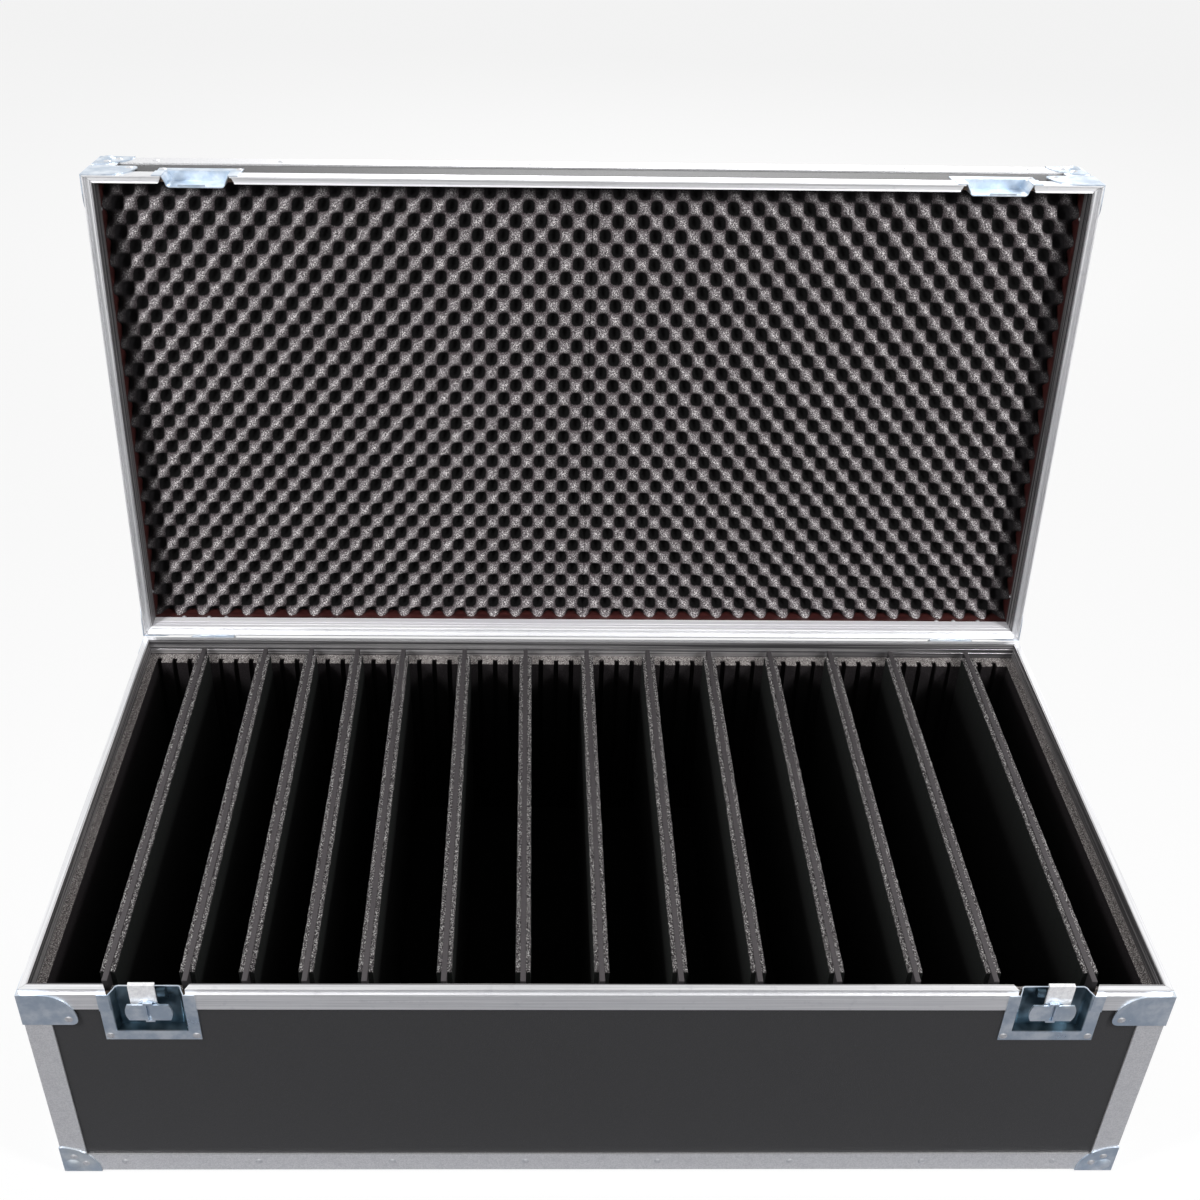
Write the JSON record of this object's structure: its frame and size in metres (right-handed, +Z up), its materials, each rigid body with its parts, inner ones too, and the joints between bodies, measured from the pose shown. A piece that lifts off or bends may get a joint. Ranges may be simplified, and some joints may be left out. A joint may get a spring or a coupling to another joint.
{
  "type": "road case",
  "caption": "Long road case with a hinged, foam-lined lid, recessed butterfly latches, spring handles, slotted foam walls and lift-out dividers.",
  "frame": {"origin": "on the floor, under the middle of the outline with the lid open", "axes": "+X along the case to the right as seen from the latches, +Y from the latches to the hinges, +Z up"},
  "size_m": [1.283, 0.8392, 0.9785],
  "materials": {
    "aluminium": "satin extruded",
    "zinc": "bright zinc plated",
    "steel": "plain",
    "plywood": "phenolic faced plywood, dark laminate outside",
    "foam": "open cell foam",
    "divider_foam": "foam pads on a stiff core",
    "rubber": "matte"
  },
  "bodies": {
    "base": {"base_rails_long": "aluminium", "base_rails_short": "aluminium", "base_bottom_panel": "plywood", "base_front_panel": "plywood", "base_back_panel": "plywood", "base_end_panels": "plywood", "base_edge_angles": "aluminium", "base_ball_corners": "zinc", "base_rim_braces": "zinc", "base_rivets": "steel", "base_foam_front": "foam", "base_foam_back": "foam", "base_foam_ends": "foam", "base_foam_floor": "foam", "hinge_base_leaves": "zinc", "hinge_pins": "steel", "latch_dishes": "zinc", "handle_dishes": "zinc"},
    "lid": {"lid_rails_long": "aluminium", "lid_rails_short": "aluminium", "lid_top_panel": "plywood", "lid_front_panel": "plywood", "lid_back_panel": "plywood", "lid_end_panels": "plywood", "lid_edge_angles": "aluminium", "lid_ball_corners": "zinc", "lid_rim_braces": "zinc", "lid_rivets": "steel", "lid_foam_left": "foam", "lid_foam_right": "foam", "hinge_lid_leaves": "zinc", "keeper_dishes": "zinc"},
    "latch_rotor_left": {"latch_rotor_left": "zinc"},
    "latch_rotor_right": {"latch_rotor_right": "zinc"},
    "wing_outer_left": {"wing_outer_left": "zinc"},
    "wing_inner_left": {"wing_inner_left": "zinc"},
    "wing_inner_right": {"wing_inner_right": "zinc"},
    "wing_outer_right": {"wing_outer_right": "zinc"},
    "latch_hook_left": {"latch_hook_left": "zinc"},
    "latch_hook_right": {"latch_hook_right": "zinc"},
    "handle_left": {"handle_bail_left": "zinc", "handle_grip_left": "rubber"},
    "handle_right": {"handle_bail_right": "zinc", "handle_grip_right": "rubber"},
    "divider_01": {"divider_01": "divider_foam"},
    "divider_02": {"divider_02": "divider_foam"},
    "divider_03": {"divider_03": "divider_foam"},
    "divider_04": {"divider_04": "divider_foam"},
    "divider_05": {"divider_05": "divider_foam"},
    "divider_06": {"divider_06": "divider_foam"},
    "divider_07": {"divider_07": "divider_foam"},
    "divider_08": {"divider_08": "divider_foam"},
    "divider_09": {"divider_09": "divider_foam"},
    "divider_10": {"divider_10": "divider_foam"},
    "divider_11": {"divider_11": "divider_foam"},
    "divider_12": {"divider_12": "divider_foam"},
    "divider_13": {"divider_13": "divider_foam"},
    "divider_14": {"divider_14": "divider_foam"}
  },
  "joints": [
    {"name": "lid_hinge", "type": "hinge", "parent": "base", "child": "lid", "pos_m": [0, 0.24566, 0.32], "axis": [-1, 0, 0], "range_deg": [-96, 0]},
    {"name": "latch_turn_left", "type": "hinge", "parent": "base", "child": "latch_rotor_left", "pos_m": [-0.497, -0.41504, 0.29], "axis": [0, 1, 0], "range_deg": [0, 180]},
    {"name": "hook_slide_left", "type": "slide", "parent": "base", "child": "latch_hook_left", "axis": [0, 0.6, -0.8], "range_m": [0, 0.005]},
    {"name": "wing_lift_outer_left", "type": "hinge", "parent": "latch_rotor_left", "child": "wing_outer_left", "pos_m": [-0.5, -0.41374, 0.29], "axis": [0, 0, 1], "range_deg": [0, 80], "stiffness_Nm_per_rad": 0.01, "springref_deg": -5.73},
    {"name": "wing_lift_inner_left", "type": "hinge", "parent": "latch_rotor_left", "child": "wing_inner_left", "pos_m": [-0.494, -0.41374, 0.29], "axis": [0, 0, -1], "range_deg": [0, 80], "stiffness_Nm_per_rad": 0.01, "springref_deg": -5.73},
    {"name": "latch_turn_right", "type": "hinge", "parent": "base", "child": "latch_rotor_right", "pos_m": [0.507, -0.41504, 0.29], "axis": [0, 1, 0], "range_deg": [0, 180]},
    {"name": "hook_slide_right", "type": "slide", "parent": "base", "child": "latch_hook_right", "axis": [0, 0.6, -0.8], "range_m": [0, 0.005]},
    {"name": "wing_lift_outer_right", "type": "hinge", "parent": "latch_rotor_right", "child": "wing_outer_right", "pos_m": [0.51, -0.41374, 0.29], "axis": [0, 0, -1], "range_deg": [0, 80], "stiffness_Nm_per_rad": 0.01, "springref_deg": -5.73},
    {"name": "wing_lift_inner_right", "type": "hinge", "parent": "latch_rotor_right", "child": "wing_inner_right", "pos_m": [0.504, -0.41374, 0.29], "axis": [0, 0, 1], "range_deg": [0, 80], "stiffness_Nm_per_rad": 0.01, "springref_deg": -5.73},
    {"name": "handle_lift_left", "type": "hinge", "parent": "base", "child": "handle_left", "pos_m": [-0.6304, -0.08704, 0.198], "axis": [0, 1, 0], "range_deg": [0, 90], "stiffness_Nm_per_rad": 0.2, "springref_deg": -11.46},
    {"name": "handle_lift_right", "type": "hinge", "parent": "base", "child": "handle_right", "pos_m": [0.6304, -0.08704, 0.198], "axis": [0, -1, 0], "range_deg": [0, 90], "stiffness_Nm_per_rad": 0.2, "springref_deg": -11.46},
    {"name": "divider_01_lift", "type": "slide", "parent": "base", "child": "divider_01", "axis": [0, 0, 1], "range_m": [0, 0.3]},
    {"name": "divider_02_lift", "type": "slide", "parent": "base", "child": "divider_02", "axis": [0, 0, 1], "range_m": [0, 0.3]},
    {"name": "divider_03_lift", "type": "slide", "parent": "base", "child": "divider_03", "axis": [0, 0, 1], "range_m": [0, 0.3]},
    {"name": "divider_04_lift", "type": "slide", "parent": "base", "child": "divider_04", "axis": [0, 0, 1], "range_m": [0, 0.3]},
    {"name": "divider_05_lift", "type": "slide", "parent": "base", "child": "divider_05", "axis": [0, 0, 1], "range_m": [0, 0.3]},
    {"name": "divider_06_lift", "type": "slide", "parent": "base", "child": "divider_06", "axis": [0, 0, 1], "range_m": [0, 0.3]},
    {"name": "divider_07_lift", "type": "slide", "parent": "base", "child": "divider_07", "axis": [0, 0, 1], "range_m": [0, 0.3]},
    {"name": "divider_08_lift", "type": "slide", "parent": "base", "child": "divider_08", "axis": [0, 0, 1], "range_m": [0, 0.3]},
    {"name": "divider_09_lift", "type": "slide", "parent": "base", "child": "divider_09", "axis": [0, 0, 1], "range_m": [0, 0.3]},
    {"name": "divider_10_lift", "type": "slide", "parent": "base", "child": "divider_10", "axis": [0, 0, 1], "range_m": [0, 0.3]},
    {"name": "divider_11_lift", "type": "slide", "parent": "base", "child": "divider_11", "axis": [0, 0, 1], "range_m": [0, 0.3]},
    {"name": "divider_12_lift", "type": "slide", "parent": "base", "child": "divider_12", "axis": [0, 0, 1], "range_m": [0, 0.3]},
    {"name": "divider_13_lift", "type": "slide", "parent": "base", "child": "divider_13", "axis": [0, 0, 1], "range_m": [0, 0.3]},
    {"name": "divider_14_lift", "type": "slide", "parent": "base", "child": "divider_14", "axis": [0, 0, 1], "range_m": [0, 0.3]}
  ],
  "couplings": [
    {"joint": "latch_turn_left", "follows": "hook_slide_left", "rad_per_m": 628.31},
    {"joint": "latch_turn_right", "follows": "hook_slide_right", "rad_per_m": 628.31}
  ]
}
